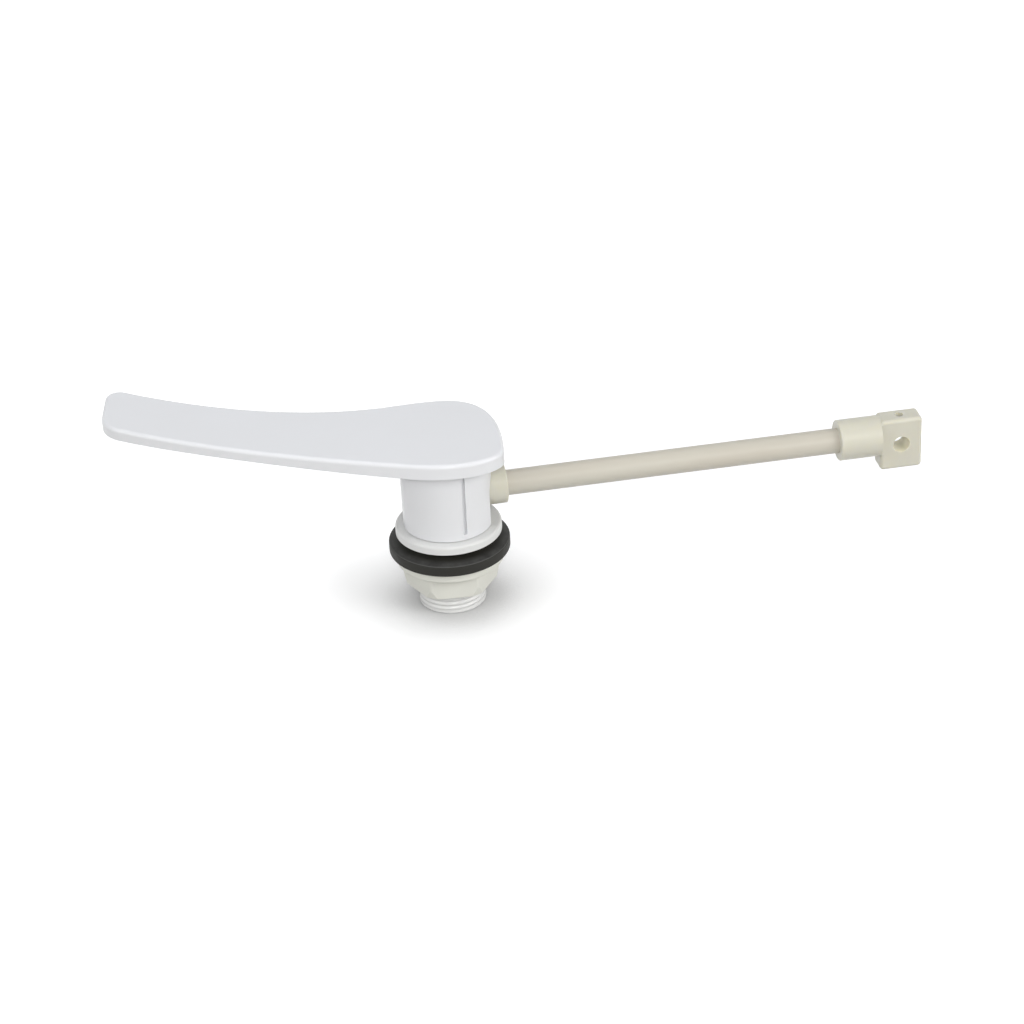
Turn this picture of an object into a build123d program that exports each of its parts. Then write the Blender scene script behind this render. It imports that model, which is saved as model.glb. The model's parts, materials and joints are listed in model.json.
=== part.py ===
from build123d import *
import os

# Cistern lever: a moulded handle on a spindle that turns in a threaded bush, with a side arm that lifts the flush link.
# Millimetres. The origin is the centre of the bush's free threaded end. +Z runs up the spindle to the blade,
# the blade points to -X and the arm to +X.

# Threaded bush
thread_dia = 20.0
spigot_length = 23.7            # free end to the underside of the collar
spigot_chamfer = 0.4
collar_dia = 31.6
collar_thickness = 2.6
collar_rounding = 0.8
counterbore_dia = 15.0
counterbore_depth = 6.0

# Fits
running_clearance = 0.08        # radial, journal in bush
push_clearance = 0.03           # radial or per side, pieces pushed together for good
thread_clearance = 0.1          # radial, backnut on spigot
seat_gap = 0.05                 # between flat faces that turn on each other
end_float = 0.3                 # axial play of the spindle in the bush

# Spindle
journal_dia = 12.0
shoulder_dia = 19.0
shoulder_height = 2.4
post_dia = 15.0
post_margin = 1.5               # post's height above the arm socket
head_square = 10.0              # across the flats of the square head in the handle
head_height = 5.2
head_corner = 1.0
pilot_depth = 14.0

# Arm
arm_rise = 10.4                 # arm axis above the collar's top
arm_azimuth = 8.8               # degrees from +X towards +Y
rod_dia = 7.6
root_socket_dia = 11.7
root_socket_reach = 17.6        # socket's end from the spindle axis
root_socket_depth = 11.0        # length of rod held in the spindle
socket_rounding = 0.4

# Link eye on the arm's far end
eye_reach = 137.5               # axis of the link hole from the spindle axis
eye_length = 12.8               # block along the arm
eye_depth = 7.0                 # block across the arm
eye_height = 16.6
eye_drop = 2.1                  # block's middle below the arm axis
eye_rounding = 1.1
eye_socket_dia = 12.3
eye_socket_length = 12.6
eye_socket_depth = 10.0         # length of rod held in the eye
link_hole_dia = 5.2             # across the arm
clamp_hole_dia = 2.6            # from the block's top into the link hole

# Handle hub
hub_gap = 0.2                   # open joint between collar and hub
hub_height = 23.5               # hub's lower edge to the blade's underside
hub_dia = 26.7                  # at the lower edge
hub_draft = 0.2                 # degrees, wider towards the blade
hub_wall = 2.2
hub_edge_rounding = 0.4
groove_azimuth = -67.6
groove_width = 1.2
groove_depth = 0.9
groove_foot = 2.4               # groove's end above the hub's lower edge
slot_clearance = 0.5            # round the arm socket, in the hub's wall
boss_wall = 3.0
web_count = 4
web_thickness = 1.6
web_depth = 4.0

# Handle blade, as a plan outline about the spindle axis
blade_thickness = 4.5           # at the hub
arch_thickness = 3.4            # where its lower edge arches highest
arch_station = 60.0             # that place, from the axis
tip_thickness = 3.7
blade_roof = 2.2
blade_rim = 2.0
blade_edge = 1.1                # rounding of the top edge
hub_end_front = 16.4
hub_front_station = 9.6         # where the swept front edge meets the hub end, from the axis
hub_front_sweep = 13.1          # degrees between that edge there and the X axis
hub_end_back = 23.3
hub_end_reach = 17.5
hub_end_skew = -8.7             # where along Y the hub end reaches furthest
hub_end_fullness = 0.66         # handle length of its curves, where 0.552 would make an ellipse
waist_station = 17.7            # a point on the hollow back edge, from the axis
waist_back = 20.9
blade_reach = 101.8
tip_front = 17.7
tip_back = 42.3
tip_sweep = 30.1                # degrees between the edges at the tip and the X axis
tip_front_rounding = 11.1
tip_back_rounding = 3.9
rib_count = 4
rib_thickness = 1.4
rib_pitch = 15.0
rib_first = 34.0                # first rib from the axis

# Tapered washer
washer_dia = 36.0
washer_thickness = 4.8
washer_rim = 3.3                # height of the straight rim
washer_top_dia = 27.6
washer_drop = 1.3               # below the collar, as it lies with no wall between
washer_bore_clearance = 0.3     # radial
washer_rounding = 0.5

# Backnut
nut_flange_dia = 32.2
nut_flange_thickness = 3.3
nut_hex = 25.0                  # across flats
nut_hex_height = 7.2
nut_corner = 1.5
nut_turn = 4.0                  # degrees that a flat is turned from the front
nut_flange_rounding = 0.6
nut_end_dia = 27.0              # circle that the corners are turned down to at the free end
nut_bevel = 15.0                # degrees between the turned corners and the axis

# Retaining screw and its washer
keeper_dia = 13.4
keeper_thickness = 1.2
screw_dia = 3.5
screw_length = 12.0
screw_head_dia = 7.0
screw_head_height = 2.4
screw_head_rounding = 1.2
screw_recess_width = 1.0
screw_recess_length = 4.2
screw_recess_depth = 1.3
screw_clearance = 0.05          # radial

# Levels up the spindle axis
collar_top = spigot_length + collar_thickness
hub_foot = collar_top + hub_gap
blade_foot = hub_foot + hub_height
blade_top = blade_foot + blade_thickness
roof_foot = blade_top - blade_roof
arm_level = collar_top + arm_rise
shoulder_foot = collar_top + seat_gap
post_top = arm_level + root_socket_dia / 2 + post_margin
head_top = post_top + head_height
spindle_foot = counterbore_depth - end_float
washer_top = spigot_length - washer_drop
washer_foot = washer_top - washer_thickness
nut_top = washer_foot - seat_gap
nut_foot = nut_top - nut_flange_thickness - nut_hex_height
keeper_foot = spindle_foot - keeper_thickness

UP = (Align.CENTER, Align.CENTER, Align.MIN)
level_tolerance = 0.001
blade_span = hub_end_front + tip_back
arm_frame = Location((0, 0, arm_level), (0, 0, arm_azimuth))


def drum(dia, foot, top):
    return Pos(0, 0, foot) * Cylinder(dia / 2, top - foot, align=UP)


def square_post(side, corner, foot, top):
    return Pos(0, 0, foot) * extrude(RectangleRounded(side, side, corner), top - foot)


def arm_drum(dia, near, far):
    # a round bar along the arm, between two distances from the spindle axis
    return arm_frame * Pos(near, 0, 0) * Rot(0, 90, 0) * Cylinder(dia / 2, far - near, align=UP)


def turned(*profile):
    # a solid of revolution from (radius, level) points
    section = make_face(Polyline(*[(radius, 0, level) for radius, level in profile], close=True))
    return revolve(section, Axis.Z)


def round_edges(solid, level):
    # the round edges that lie at one level
    circles = solid.edges().filter_by(GeomType.CIRCLE)
    return circles.filter_by_position(Axis.Z, level - level_tolerance, level + level_tolerance)


def make_bush():
    bore = journal_dia + 2 * running_clearance
    bush = turned(
        (bore / 2, counterbore_depth),
        (counterbore_dia / 2, counterbore_depth),
        (counterbore_dia / 2, 0),
        (thread_dia / 2 - spigot_chamfer, 0),
        (thread_dia / 2, spigot_chamfer),
        (thread_dia / 2, spigot_length),
        (collar_dia / 2, spigot_length),
        (collar_dia / 2, collar_top),
        (bore / 2, collar_top),
    )
    rim = round_edges(bush, collar_top).sort_by(SortBy.RADIUS)[-1]
    return fillet(rim, collar_rounding)


def make_spindle():
    spindle = drum(journal_dia, spindle_foot, shoulder_foot)
    spindle += drum(shoulder_dia, shoulder_foot, shoulder_foot + shoulder_height)
    spindle += drum(post_dia, shoulder_foot + shoulder_height, post_top)
    spindle += square_post(head_square, head_corner, post_top, head_top)
    socket = arm_drum(root_socket_dia, 0, root_socket_reach)
    socket_end = socket.edges().sort_by(Axis.X)[-1]
    spindle += fillet(socket_end, socket_rounding)
    spindle -= arm_drum(rod_dia + 2 * push_clearance, root_socket_reach - root_socket_depth, root_socket_reach)
    return spindle - drum(screw_dia + 2 * screw_clearance, spindle_foot, spindle_foot + pilot_depth)


def blade_outline(inset=0):
    # A full round hub end, a hollow back edge, a straight tip and a long swept front edge.
    # An inset outline lies that far inside the blade's own.
    to_hub = Vector(1, 0).rotate(Axis.Z, -hub_front_sweep)
    front = Vector(-hub_front_station, -hub_end_front) + to_hub.rotate(Axis.Z, 90) * inset
    back = Vector(0, hub_end_back - inset)
    end = Vector(hub_end_reach - inset, hub_end_skew)
    front_run = to_hub * hub_end_fullness * (end.X - front.X)
    back_run = Vector(hub_end_fullness * end.X, 0)
    front_rise = Vector(0, hub_end_fullness * (front.Y - end.Y))
    back_rise = Vector(0, hub_end_fullness * (back.Y - end.Y))
    waist = Vector(-waist_station, waist_back - inset)
    to_tip = Vector(-1, 0).rotate(Axis.Z, -tip_sweep)
    along_tip = inset * to_tip.Y / to_tip.X
    across_tip = inset / -to_tip.X
    tip_low = Vector(inset - blade_reach, tip_front + along_tip + across_tip)
    tip_high = Vector(inset - blade_reach, tip_back + along_tip - across_tip)
    outline = make_face([
        Bezier(front, front + front_run, end + front_rise, end),
        Bezier(end, end + back_rise, back + back_run, back),
        Spline(back, waist, tip_high, tangents=[(-1, 0), to_tip]),
        Line(tip_high, tip_low),
        Spline(tip_low, front, tangents=[-to_tip, to_hub]),
    ])
    outline = fillet(outline.vertices().sort_by_distance(tip_low)[0], tip_front_rounding - inset)
    return fillet(outline.vertices().sort_by_distance(tip_high)[0], tip_back_rounding - inset)


def blade_side():
    # The blade from the side: a level top, and a lower edge that arches up between the hub and the tip.
    # It runs past both ends of the outline.
    root = Vector(0, 0, blade_foot)
    arch = Vector(-arch_station, 0, blade_top - arch_thickness)
    tip = Vector(-blade_reach, 0, blade_top - tip_thickness)
    past_tip = -blade_reach - blade_thickness
    past_hub = hub_end_reach + blade_thickness
    side = make_face([
        Spline(root, arch, tip, tangents=[(-1, 0, 0), (-1, 0, 0)]),
        Polyline(
            tip, (past_tip, 0, tip.Z), (past_tip, 0, blade_top),
            (past_hub, 0, blade_top), (past_hub, 0, blade_foot), root,
        ),
    ])
    return extrude(side, blade_span, both=True)


def make_blade():
    slab = Pos(0, 0, blade_foot - blade_thickness) * extrude(blade_outline(), 2 * blade_thickness)
    blade = slab & blade_side()
    blade = fillet(blade.faces().sort_by(Axis.Z)[-1].edges(), blade_edge)
    hollow = Pos(0, 0, blade_foot) * extrude(blade_outline(blade_rim), roof_foot - blade_foot)
    for i in range(rib_count):
        station = rib_first + i * rib_pitch
        hollow -= Pos(-station, 0, blade_foot) * Box(rib_thickness, 2 * blade_span, blade_thickness, align=UP)
    return blade - hollow


def make_hub():
    foot_face = Pos(0, 0, hub_foot) * Circle(hub_dia / 2)
    hub = extrude(foot_face, roof_foot - hub_foot, taper=-hub_draft)
    hub = fillet(round_edges(hub, hub_foot), hub_edge_rounding)
    hub -= drum(hub_dia - 2 * hub_wall, hub_foot, roof_foot)

    boss_dia = head_square + 2 * boss_wall
    boss = drum(boss_dia, post_top, roof_foot)
    for i in range(web_count):
        web = Box(hub_dia / 2 - hub_wall / 2, web_thickness, web_depth, align=(Align.MIN, Align.CENTER, Align.MAX))
        boss += Rot(0, 0, (i + 0.5) * 360 / web_count) * Pos(0, 0, roof_foot) * web
    socket_top = head_top + push_clearance
    boss -= square_post(head_square + 2 * push_clearance, head_corner, post_top, socket_top)

    slot_dia = root_socket_dia + 2 * slot_clearance
    slot = arm_drum(slot_dia, post_dia / 2, hub_dia)
    slot += arm_frame * Pos(post_dia / 2, 0, 0) * Box(
        hub_dia - post_dia / 2, slot_dia, 2 * (arm_level - hub_foot), align=(Align.MIN, Align.CENTER, Align.CENTER)
    ).split(Plane.XY, keep=Keep.BOTTOM)

    groove = Box(2 * groove_depth, groove_width, roof_foot - hub_foot - groove_foot, align=UP)
    groove += Rot(0, 90, 0) * Cylinder(groove_width / 2, 2 * groove_depth)
    groove = Rot(0, 0, groove_azimuth) * Pos(hub_dia / 2, 0, hub_foot + groove_foot) * groove
    return hub - slot - groove + boss


def make_handle():
    return make_blade() + make_hub()


def make_washer():
    rim_top = washer_foot + washer_rim
    bore = thread_dia / 2 + washer_bore_clearance
    washer = turned(
        (bore, washer_foot),
        (washer_dia / 2, washer_foot),
        (washer_dia / 2, rim_top),
        (washer_top_dia / 2, washer_top),
        (bore, washer_top),
    )
    lower_rim = round_edges(washer, washer_foot).sort_by(SortBy.RADIUS)[-1]
    upper_rim = round_edges(washer, rim_top)
    return fillet([lower_rim, *upper_rim], washer_rounding)


def make_backnut():
    flange_foot = nut_top - nut_flange_thickness
    flange = drum(nut_flange_dia, flange_foot, nut_top)
    flange = fillet(round_edges(flange, flange_foot), nut_flange_rounding)
    hexagon = fillet(RegularPolygon(nut_hex / 2, 6, major_radius=False).vertices(), nut_corner)
    body = Pos(0, 0, nut_foot) * extrude(Rot(0, 0, nut_turn) * hexagon, nut_hex_height)
    bevel = Pos(0, 0, nut_foot) * extrude(Circle(nut_end_dia / 2), nut_hex_height, taper=-nut_bevel)
    return flange + (body & bevel) - drum(thread_dia + 2 * thread_clearance, nut_foot, nut_top)


def make_arm_rod():
    far = eye_reach - eye_length / 2 - eye_socket_length + eye_socket_depth
    return arm_drum(rod_dia, root_socket_reach - root_socket_depth, far)


def make_link_eye():
    block_near = eye_reach - eye_length / 2
    socket_near = block_near - eye_socket_length
    block = Box(eye_length, eye_depth, eye_height)
    near_edges = block.faces().sort_by(Axis.X)[0].edges()
    place = arm_frame * Pos(eye_reach, 0, -eye_drop)
    behind_socket = place * fillet(block.edges() - near_edges, eye_rounding)
    behind_socket &= arm_drum(eye_socket_dia, block_near, block_near + eye_length / 2)
    socket = arm_drum(eye_socket_dia, socket_near, block_near)
    socket = fillet(socket.edges().sort_by(Axis.X)[0], socket_rounding)
    eye = place * fillet(block.edges(), eye_rounding) + behind_socket + socket
    eye -= arm_drum(rod_dia + 2 * push_clearance, socket_near, socket_near + eye_socket_depth)
    eye -= place * Rot(90, 0, 0) * Cylinder(link_hole_dia / 2, 2 * eye_depth)
    return eye - place * Cylinder(clamp_hole_dia / 2, eye_height, align=UP)


def make_keeper():
    bore = screw_dia + 2 * screw_clearance
    return drum(keeper_dia, keeper_foot, spindle_foot) - drum(bore, keeper_foot, spindle_foot)


def make_screw():
    head_foot = keeper_foot - screw_head_height
    head = drum(screw_head_dia, head_foot, keeper_foot)
    head = fillet(round_edges(head, head_foot), screw_head_rounding)
    screw = head + drum(screw_dia, keeper_foot, keeper_foot + screw_length)
    for turn in (0, 90):
        arm = Box(screw_recess_length, screw_recess_width, screw_recess_depth, align=UP)
        screw -= Pos(0, 0, head_foot) * Rot(0, 0, turn) * arm
    return screw


parts = {
    "mounting_bush": make_bush(),
    "spindle": make_spindle(),
    "handle": make_handle(),
    "tapered_washer": make_washer(),
    "backnut": make_backnut(),
    "arm_rod": make_arm_rod(),
    "link_eye": make_link_eye(),
    "retaining_washer": make_keeper(),
    "retaining_screw": make_screw(),
}

os.makedirs("parts", exist_ok=True)
for name, solid in parts.items():
    export_step(solid, f"parts/{name}.step")
    print(name, "volume", round(solid.volume, 1))
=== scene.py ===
import json
import math

import bpy
import numpy as np
from mathutils import Matrix, Vector


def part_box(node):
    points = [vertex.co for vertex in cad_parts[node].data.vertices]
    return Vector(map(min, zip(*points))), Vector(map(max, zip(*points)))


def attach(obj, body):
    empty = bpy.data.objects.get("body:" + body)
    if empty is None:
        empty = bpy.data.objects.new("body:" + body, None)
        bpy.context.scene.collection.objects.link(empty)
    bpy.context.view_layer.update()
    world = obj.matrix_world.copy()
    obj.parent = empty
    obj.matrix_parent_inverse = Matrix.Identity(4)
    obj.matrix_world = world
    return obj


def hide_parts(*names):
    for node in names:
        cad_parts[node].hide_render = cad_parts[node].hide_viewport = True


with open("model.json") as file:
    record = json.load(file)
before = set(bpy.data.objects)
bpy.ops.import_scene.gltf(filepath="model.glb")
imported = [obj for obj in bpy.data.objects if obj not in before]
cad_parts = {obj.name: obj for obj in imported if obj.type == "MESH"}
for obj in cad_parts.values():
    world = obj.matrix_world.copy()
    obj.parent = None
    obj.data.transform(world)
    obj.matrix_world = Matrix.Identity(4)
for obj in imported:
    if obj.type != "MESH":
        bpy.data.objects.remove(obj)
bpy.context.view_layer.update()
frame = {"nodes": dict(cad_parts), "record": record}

# Cistern lever, dressed for its picture. Metres, in the frame of the solid model.
nodes = frame["nodes"]
mounts = {m["name"]: m for m in frame["record"]["mounts"]}
millimetre = 0.001


# Camera

cameraLook = {
    "place": (0.01891, -0.76770, 0.47076),
    "lookDown": 29.965,     # degrees below level
    "roll": 2.9,            # degrees, picture turned anticlockwise
    "lens": 105.47,
    "sensor": 36.0,
    "clip": (0.01, 50.0),
}

data = bpy.data.cameras.new("viewCamera")
data.lens = cameraLook["lens"]
data.sensor_width = cameraLook["sensor"]
data.clip_start, data.clip_end = cameraLook["clip"]
camera = bpy.data.objects.new("viewCamera", data)
bpy.context.scene.collection.objects.link(camera)
tilt = Matrix.Rotation(math.radians(90 - cameraLook["lookDown"]), 4, "X")
turn = Matrix.Rotation(math.radians(-cameraLook["roll"]), 4, "Z")
camera.matrix_world = Matrix.Translation(cameraLook["place"]) @ tilt @ turn
bpy.context.scene.camera = camera
bpy.context.scene.view_settings.view_transform = "Standard"


# Shader nodes

def nodeTree(name):
    material = bpy.data.materials.new(name)
    material.use_nodes = True
    tree = material.node_tree
    return material, tree, tree.nodes["Principled BSDF"]


def setOrLink(tree, socket, value):
    # a value is another node's socket, or a number or colour
    if isinstance(value, bpy.types.NodeSocket):
        tree.links.new(value, socket)
    else:
        socket.default_value = value


def mathNode(tree, operation, first, second):
    node = tree.nodes.new("ShaderNodeMath")
    node.operation = operation
    tree.links.new(first, node.inputs[0])
    setOrLink(tree, node.inputs[1], second)
    return node.outputs[0]


def vectorNode(tree, operation, value, constant=(0, 0, 0)):
    node = tree.nodes.new("ShaderNodeVectorMath")
    node.operation = operation
    tree.links.new(value, node.inputs[0])
    node.inputs[1].default_value = constant
    return node


def objectCoords(tree):
    return tree.nodes.new("ShaderNodeTexCoord").outputs["Object"]


def heightOf(tree, coords):
    split = tree.nodes.new("ShaderNodeSeparateXYZ")
    tree.links.new(coords, split.inputs[0])
    return split.outputs["Z"]


def noiseNode(tree, coords, scale, detail, rough=0.5):
    noise = tree.nodes.new("ShaderNodeTexNoise")
    noise.inputs["Scale"].default_value = scale
    noise.inputs["Detail"].default_value = detail
    noise.inputs["Roughness"].default_value = rough
    tree.links.new(coords, noise.inputs["Vector"])
    return noise.outputs["Fac"]


def rampNode(tree, value, low, high, lowAt=0.3, highAt=0.7):
    # from colour to colour between two levels of a value
    ramp = tree.nodes.new("ShaderNodeValToRGB")
    ramp.color_ramp.elements[0].position = lowAt
    ramp.color_ramp.elements[0].color = low
    ramp.color_ramp.elements[1].position = highAt
    ramp.color_ramp.elements[1].color = high
    tree.links.new(value, ramp.inputs["Fac"])
    return ramp.outputs["Color"]


def spanNode(tree, value, low, high, lowAt=0.3, highAt=0.7):
    # from number to number between two levels of a value
    span = tree.nodes.new("ShaderNodeMapRange")
    span.inputs["From Min"].default_value = lowAt
    span.inputs["From Max"].default_value = highAt
    span.inputs["To Min"].default_value = low
    span.inputs["To Max"].default_value = high
    tree.links.new(value, span.inputs["Value"])
    return span.outputs["Result"]


def mixColours(tree, factor, first, second):
    mix = tree.nodes.new("ShaderNodeMix")
    mix.data_type = "RGBA"
    tree.links.new(factor, mix.inputs["Factor"])
    tree.links.new(first, mix.inputs["A"])
    setOrLink(tree, mix.inputs["B"], second)
    return mix.outputs["Result"]


def mixShaders(tree, factor, first, second):
    mix = tree.nodes.new("ShaderNodeMixShader")
    tree.links.new(factor, mix.inputs[0])
    tree.links.new(first, mix.inputs[1])
    tree.links.new(second, mix.inputs[2])
    return mix.outputs[0]


def mattShader(tree, colour):
    matt = tree.nodes.new("ShaderNodeBsdfDiffuse")
    matt.inputs["Color"].default_value = colour
    return matt.outputs[0]


def shownRay(tree):
    # 1 for what is seen straight, in gloss or through the part, and 0 for light on its way to the part
    path = tree.nodes.new("ShaderNodeLightPath").outputs
    shown = mathNode(tree, "MAXIMUM", path["Is Camera Ray"], path["Is Glossy Ray"])
    return mathNode(tree, "MAXIMUM", shown, path["Is Transmission Ray"])


# Floor, room and lamps

floorLook = {
    "half": 6.0,
    "bounce": (0.54, 0.535, 0.52, 1),   # grey that lights the part from below
    "seen": (0.62, 0.62, 0.62, 1),      # grey that takes the shadows
    "glow": 0.65,                       # lifts the open floor to white
    "skyRays": 8,                       # rays that find how open the floor is
    "closeReach": 0.03,                 # how near the part has to be to hold the glow back
    "openSky": (0.41, 0.99),            # open shares at which the glow starts and is full
    "farGlow": 0.45,                    # added where the lamps no longer reach
    "farReach": (0.3, 1.6),             # distances at which that starts and is full
    "opening": 0.0096,                  # radius left clear under the spigot's open end, to let light inside
    "foot": 0.0005,                     # light also passes to a face as near the floor as this
}


def floorMaterial(look):
    # matt grey with a glow that the part holds back close by; clear from below, in the opening and at a foot
    material, tree, shader = nodeTree("paleFloor")
    tree.nodes.remove(shader)
    sky = tree.nodes.new("ShaderNodeAmbientOcclusion")
    sky.samples = look["skyRays"]
    sky.inputs["Distance"].default_value = look["closeReach"]
    lift = spanNode(tree, sky.outputs["AO"], 0, look["glow"], *look["openSky"])
    away = vectorNode(tree, "LENGTH", objectCoords(tree)).outputs["Value"]
    far = spanNode(tree, away, 0, look["farGlow"], *look["farReach"])
    glow = tree.nodes.new("ShaderNodeEmission")
    tree.links.new(mathNode(tree, "ADD", lift, far), glow.inputs["Strength"])
    seen = tree.nodes.new("ShaderNodeAddShader")
    tree.links.new(mattShader(tree, look["seen"]), seen.inputs[0])
    tree.links.new(glow.outputs[0], seen.inputs[1])
    top = mixShaders(tree, shownRay(tree), mattShader(tree, look["bounce"]), seen.outputs[0])
    clear = tree.nodes.new("ShaderNodeBsdfTransparent")
    below = tree.nodes.new("ShaderNodeNewGeometry").outputs["Backfacing"]
    opening = mathNode(tree, "LESS_THAN", away, look["opening"])
    rayLength = tree.nodes.new("ShaderNodeLightPath").outputs["Ray Length"]
    foot = mathNode(tree, "LESS_THAN", rayLength, look["foot"])
    seeThrough = mathNode(tree, "MAXIMUM", below, mathNode(tree, "MAXIMUM", opening, foot))
    whole = mixShaders(tree, seeThrough, top, clear.outputs[0])
    tree.links.new(whole, tree.nodes["Material Output"].inputs["Surface"])
    return material


half = floorLook["half"]
corners = [(-half, -half, 0), (half, -half, 0), (half, half, 0), (-half, half, 0)]
mesh = bpy.data.meshes.new("paleFloor")
mesh.from_pydata(corners, [], [(0, 1, 2, 3)])
mesh.materials.append(floorMaterial(floorLook))
floor = bpy.data.objects.new("paleFloor", mesh)
bpy.context.scene.collection.objects.link(floor)


worldLook = {
    "light": (0.95, 0.97, 1.0, 1),
    "ambient": 0.195,
    "backdropColour": (1, 1, 1, 1),
    "backdrop": (1.0, 0.55),            # seen level at the horizon and overhead
    "rise": (0.15, 0.75),               # heights on the sky, as sines, between which it falls off
}

world = bpy.data.worlds.new("paleRoom")
bpy.context.scene.world = world
world.use_nodes = True
tree = world.node_tree
ambient = tree.nodes["Background"]
ambient.inputs["Color"].default_value = worldLook["light"]
ambient.inputs["Strength"].default_value = worldLook["ambient"]
backdrop = tree.nodes.new("ShaderNodeBackground")
backdrop.inputs["Color"].default_value = worldLook["backdropColour"]
skyHeight = heightOf(tree, tree.nodes.new("ShaderNodeTexCoord").outputs["Generated"])
level = spanNode(tree, skyHeight, *worldLook["backdrop"], *worldLook["rise"])
tree.links.new(level, backdrop.inputs["Strength"])
room = mixShaders(tree, shownRay(tree), ambient.outputs[0], backdrop.outputs[0])
tree.links.new(room, tree.nodes["World Output"].inputs["Surface"])


daylight = (0.94, 0.965, 1.0)
lampWhite = (1.0, 0.995, 0.985)
lampLook = [
    {"name": "topLamp", "place": (-0.14, 0.04, 0.66), "size": 0.5, "power": 1.3, "colour": daylight},
    {"name": "frontLamp", "place": (0.03, -1.05, 0.68), "size": 0.2, "power": 3.3, "colour": lampWhite},
    {"name": "rightLamp", "place": (0.89, -0.8, 0.74), "size": 0.6, "power": 4.6, "colour": lampWhite},
    {"name": "sideLamp", "place": (1.1, -0.45, 0.6), "size": 0.6, "power": 5.0, "colour": lampWhite},
    {"name": "leftLamp", "place": (-0.77, -0.92, 0.74), "size": 0.6, "power": 2.8, "colour": lampWhite},
    {"name": "farLeftLamp", "place": (-1.1, -0.45, 0.6), "size": 0.6, "power": 3.1, "colour": lampWhite},
]
lampAim = Vector((0, 0, 0.04))
for lamp in lampLook:
    data = bpy.data.lights.new(lamp["name"], "AREA")
    data.size = lamp["size"]
    data.energy = lamp["power"]
    data.color = lamp["colour"]
    light = bpy.data.objects.new(lamp["name"], data)
    bpy.context.scene.collection.objects.link(light)
    light.location = lamp["place"]
    light.rotation_euler = (lampAim - light.location).to_track_quat("-Z", "Y").to_euler()
print("camera, floor and", len(lampLook), "lamps set")


# Finishes

mouldingLook = {
    "cloudDetail": 3,
    "grainDetail": 4,
    "grainRough": 0.6,
    "grainRelief": 0.1 * millimetre,
    "scatterSpread": (1.0, 0.9, 0.6),       # of red, green and blue under the skin, as shares of the reach
    "scatterReach": 1.5 * millimetre,
}

# Each finish's roughness keeps to one side of about 0.274: where a range crossed that, a faint pale patch
# showed in the render.
finishLook = {
    "white_plastic": {"colour": (0.80, 0.805, 0.825, 1), "shade": (0.79, 0.795, 0.812, 1), "cloud": 36.0,
                      "roughness": (0.2, 0.27), "grain": 870.0, "bump": 0.02, "specular": 0.42},
    # painted shade: the bush is a darker, warmer copy of the handle's white, standing in for the dimmer,
    # warmer light low down by the nut and floor
    "bush_plastic": {"colour": (0.76, 0.763, 0.755, 1), "shade": (0.75, 0.753, 0.742, 1), "cloud": 60.0,
                     "roughness": (0.21, 0.27), "grain": 900.0, "bump": 0.03, "specular": 0.42},
    "cream_plastic": {"colour": (0.672, 0.656, 0.563, 1), "shade": (0.65, 0.63, 0.532, 1), "cloud": 90.0,
                      "roughness": (0.28, 0.35), "grain": 1600.0, "bump": 0.06, "specular": 0.5,
                      "scatter": 0.5},              # share of the light that spreads under the skin
    "nut_plastic": {"colour": (0.75, 0.75, 0.69, 1), "shade": (0.735, 0.735, 0.67, 1), "cloud": 90.0,
                    "roughness": (0.34, 0.42), "grain": 1400.0, "bump": 0.05, "specular": 0.4},
    "beige_plastic": {"colour": (0.585, 0.558, 0.48, 1), "shade": (0.565, 0.52, 0.44, 1), "cloud": 160.0,
                      "along": 8.8, "stretch": 6.0,      # the drawn rod's marks run along the arm
                      "roughness": (0.28, 0.36), "grain": 1800.0, "bump": 0.06, "specular": 0.65},
    "black_rubber": {"colour": (0.014, 0.0135, 0.010, 1), "shade": (0.010, 0.0098, 0.0072, 1), "cloud": 160.0,
                     "roughness": (0.5, 0.65), "grain": 2200.0, "bump": 0.15, "specular": 0.32},
    "steel": {"colour": (0.6, 0.6, 0.58, 1), "shade": (0.5, 0.5, 0.48, 1), "cloud": 300.0,
              "roughness": (0.28, 0.4), "grain": 2500.0, "bump": 0.08, "specular": 0.5, "metal": 1.0},
}


def mouldedFinish(name, look, moulding):
    # a faint cloud in the colour and the gloss, drawn out along a rod, and a fine moulded grain in the bump
    material, tree, shader = nodeTree(name)
    coords = objectCoords(tree)
    drawn = tree.nodes.new("ShaderNodeMapping")
    drawn.vector_type = "TEXTURE"
    drawn.inputs["Rotation"].default_value = (0, 0, math.radians(look.get("along", 0.0)))
    drawn.inputs["Scale"].default_value = (look.get("stretch", 1.0), 1, 1)
    tree.links.new(coords, drawn.inputs["Vector"])
    cloud = noiseNode(tree, drawn.outputs["Vector"], look["cloud"], moulding["cloudDetail"])
    tree.links.new(rampNode(tree, cloud, look["shade"], look["colour"]), shader.inputs["Base Color"])
    tree.links.new(spanNode(tree, cloud, *look["roughness"]), shader.inputs["Roughness"])
    bump = tree.nodes.new("ShaderNodeBump")
    bump.inputs["Strength"].default_value = look["bump"]
    bump.inputs["Distance"].default_value = moulding["grainRelief"]
    grain = noiseNode(tree, coords, look["grain"], moulding["grainDetail"], moulding["grainRough"])
    tree.links.new(grain, bump.inputs["Height"])
    tree.links.new(bump.outputs["Normal"], shader.inputs["Normal"])
    shader.inputs["Metallic"].default_value = look.get("metal", 0.0)
    shader.inputs["Specular IOR Level"].default_value = look["specular"]
    shader.inputs["Subsurface Weight"].default_value = look.get("scatter", 0.0)
    shader.inputs["Subsurface Radius"].default_value = moulding["scatterSpread"]
    shader.inputs["Subsurface Scale"].default_value = moulding["scatterReach"]
    return material


finishes = {}
for slotName, look in finishLook.items():
    finishes[slotName] = mouldedFinish(slotName + "Finish", look, mouldingLook)


def baseColour(material):
    # the socket that the colour goes into, and what feeds it so far
    socket = material.node_tree.nodes["Principled BSDF"].inputs["Base Color"]
    return socket, socket.links[0].from_socket


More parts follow.
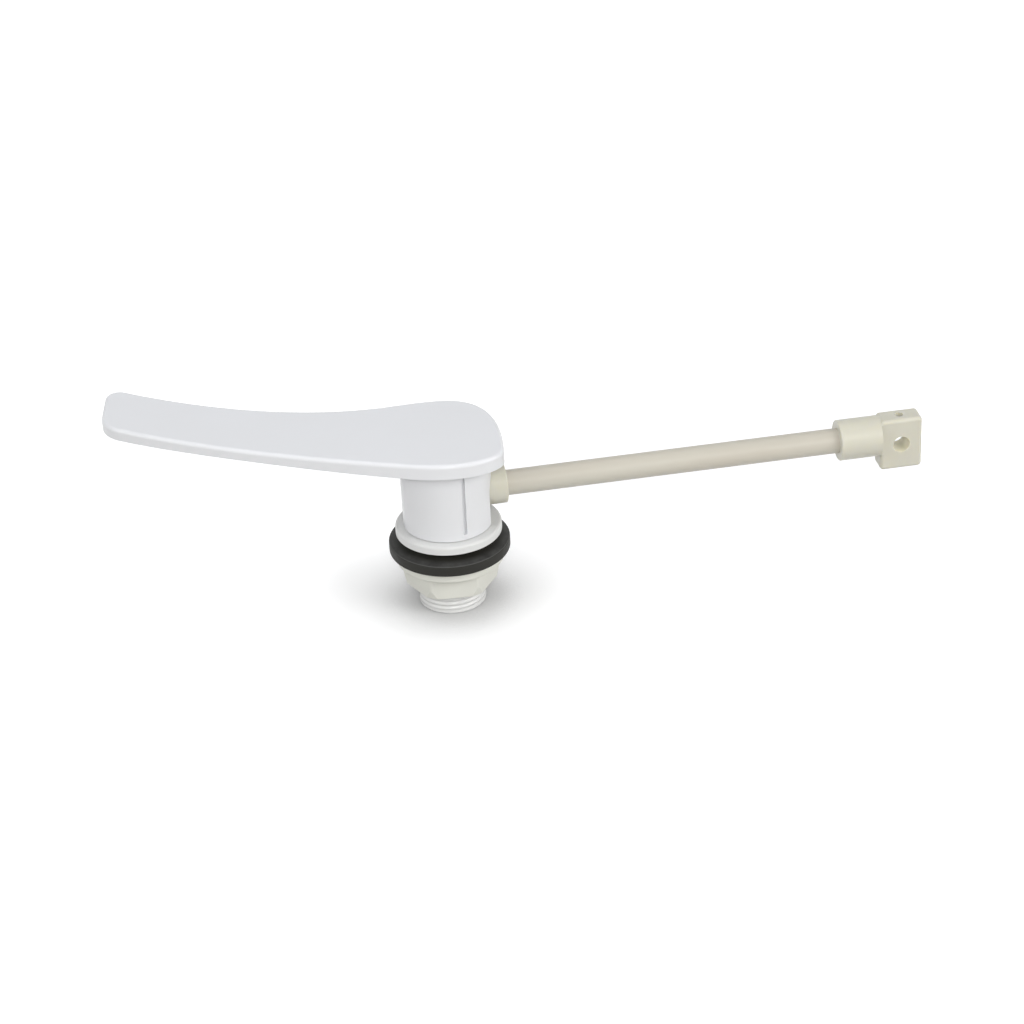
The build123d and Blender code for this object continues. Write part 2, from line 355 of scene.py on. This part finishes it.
rubberLightLook = {
    # painted light: the paler greys of the upward-facing cone, patchy
    "paintedLightLow": (0.024, 0.024, 0.0225, 1),
    "paintedLightHigh": (0.05, 0.05, 0.0475, 1),
    "patch": 330.0,                         # scale of the noise that makes it patchy
    "patchDetail": 4,
    "patchRough": 0.6,
    "fade": (0.4 * millimetre, 0.95 * millimetre),   # heights on the cone where the painted light thins out and ends, leaving painted shade up to the collar
    "crease": (0.075, 0.075, 0.072, 1),     # painted highlight on the edge between the rim and the cone
    "creaseWidth": 0.25 * millimetre,
    "rim": 3.3 * millimetre,                # height of the washer's plain rim
}


def rubberPaintedLight(material, look):
    # painted light: the open part of the cone is painted a patchy paler grey, as where light falls on it, the
    # edge below it carries a painted highlight, and near the collar the cone is left bare black as painted
    # shade
    tree = material.node_tree
    socket, bare = baseColour(material)
    coords = objectCoords(tree)
    height = heightOf(tree, coords)
    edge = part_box("tapered_washer")[0].z + look["rim"]
    half = look["creaseWidth"] / 2
    thinAt, endAt = look["fade"]
    onEdge = spanNode(tree, height, 0, 1, edge - half, edge)
    onCone = spanNode(tree, height, 0, 1, edge, edge + half)
    # painted shade: near the collar the cone goes back to bare black
    paintedShadeNearCollar = spanNode(tree, height, 0, 1, edge + thinAt, edge + endAt)
    patches = noiseNode(tree, coords, look["patch"], look["patchDetail"], look["patchRough"])
    # painted highlight along the crease
    paintedCreaseHighlight = mixColours(tree, onEdge, bare, look["crease"])
    # painted light on the open part of the cone
    paintedLightCone = mixColours(tree, onCone, paintedCreaseHighlight, rampNode(tree, patches, look["paintedLightLow"], look["paintedLightHigh"]))
    # painted shade under the collar
    tree.links.new(mixColours(tree, paintedShadeNearCollar, paintedLightCone, bare), socket)


rubberPaintedLight(finishes["black_rubber"], rubberLightLook)


holeLook = {
    # painted light on the link hole's wall
    "colour": (0.855, 0.823, 0.672, 1),
    "fade": (0.02 * millimetre, 0.15 * millimetre),   # past the hole's radius, where it fades and ends
}


def paintedHoleLight(material, look):
    # painted light: the link hole's wall is painted paler and yellower, standing in for light that comes
    # through the moulding:
    # the distance from the hole's axis is the length of (place - centre) x axis
    tree = material.node_tree
    socket, plain = baseColour(material)
    hole = mounts["link_hole"]
    radius = hole["dims"]["r_mm"] * millimetre
    fadeStart, fadeEnd = look["fade"]
    offset = vectorNode(tree, "SUBTRACT", objectCoords(tree), hole["pos_m"])
    moment = vectorNode(tree, "CROSS_PRODUCT", offset.outputs["Vector"], hole["axis"])
    away = vectorNode(tree, "LENGTH", moment.outputs["Vector"])
    inside = spanNode(tree, away.outputs["Value"], 1, 0, radius + fadeStart, radius + fadeEnd)
    tree.links.new(mixColours(tree, inside, plain, look["colour"]), socket)


paintedHoleLight(finishes["cream_plastic"], holeLook)

for part in frame["record"]["subparts"]:
    for slot in nodes[part["node"]].material_slots:
        slot.material = finishes[part["material_slot"]]
print("finishes on", len(nodes), "nodes")


# Threaded bush

bushLook = {
    "pitch": 1.5 * millimetre,
    "depth": 0.33 * millimetre,
    "start": 0.42,                  # turns by which the thread is wound on
    "lead": 0.4 * millimetre,       # chamfer at the free end
    "bore": 6.08 * millimetre,
    "counterbore": 7.5 * millimetre,
    "counterboreDepth": 6.0 * millimetre,
    "rimRounding": 0.8 * millimetre,
    "rimPoints": 9,
    "columns": 160,
    "rowsPerPitch": 12,
    "sharpAngle": 40,               # degrees from which an edge stays sharp
}


def closedGrid(rows, columns):
    # quads of a grid that closes on itself both ways
    r, c = np.meshgrid(np.arange(rows), np.arange(columns), indexing="ij")
    r2, c2 = (r + 1) % rows, (c + 1) % columns
    quads = np.stack([r * columns + c, r * columns + c2, r2 * columns + c2, r2 * columns + c], -1)
    return quads.reshape(-1, 4)


def makePiece(name, points, faces, slotName, body, node, sharp):
    mesh = bpy.data.meshes.new(name)
    mesh.from_pydata(points.tolist(), [], faces.tolist())
    mesh.materials.append(finishes[slotName])
    mesh.shade_smooth()
    mesh.set_sharp_from_angle(angle=math.radians(sharp))
    piece = bpy.data.objects.new(name, mesh)
    bpy.context.scene.collection.objects.link(piece)
    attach(piece, body)
    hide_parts(node)


def threadedBush(look):
    # The section of the bush turned about the spindle axis. On the spigot the radius drops by a rounded wave
    # of height over pitch less one turn per circle, which winds it into a right-hand thread that fades at
    # both ends.
    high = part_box("mounting_bush")[1]
    collar, top = high.x, high.z
    spigot = mounts["wall_spigot"]["dims"]
    radius = spigot["r_mm"] * millimetre
    underCollar = spigot["length_mm"] * millimetre
    lead, pitch = look["lead"], look["pitch"]
    bore, counterbore, deep = look["bore"], look["counterbore"], look["counterboreDepth"]
    rows = int((underCollar - lead) / pitch * look["rowsPerPitch"])
    bend = np.linspace(0, math.pi / 2, look["rimPoints"])
    rim = look["rimRounding"]
    openEnd = [[bore, deep], [counterbore, deep], [counterbore, 0], [radius - lead, 0]]
    section = np.concatenate([
        openEnd,
        np.stack([np.full(rows, radius), np.linspace(lead, underCollar, rows)], 1),
        [[collar, underCollar]],
        np.stack([collar - rim + rim * np.cos(bend), top - rim + rim * np.sin(bend)], 1),
        [[bore, top]],
    ])
    angle = np.linspace(0, 2 * math.pi, look["columns"], endpoint=False)
    r = np.repeat(section[:, :1], len(angle), 1)
    z = np.repeat(section[:, 1:], len(angle), 1)
    onSpigot = slice(len(openEnd), len(openEnd) + rows)
    height = z[onSpigot]
    phase = height / pitch - angle / (2 * math.pi) - look["start"]
    wave = 0.5 - 0.5 * np.cos(2 * math.pi * phase)
    fade = np.clip((height - lead) / pitch, 0, 1) * np.clip((underCollar - height) / pitch, 0, 1)
    r[onSpigot] -= look["depth"] * wave * fade
    points = np.stack([r * np.cos(angle), r * np.sin(angle), z], -1).reshape(-1, 3)
    faces = closedGrid(len(section), len(angle))
    makePiece("threadedBush", points, faces, "bush_plastic", "mount", "mounting_bush", look["sharpAngle"])


threadedBush(bushLook)
print("bush threaded")
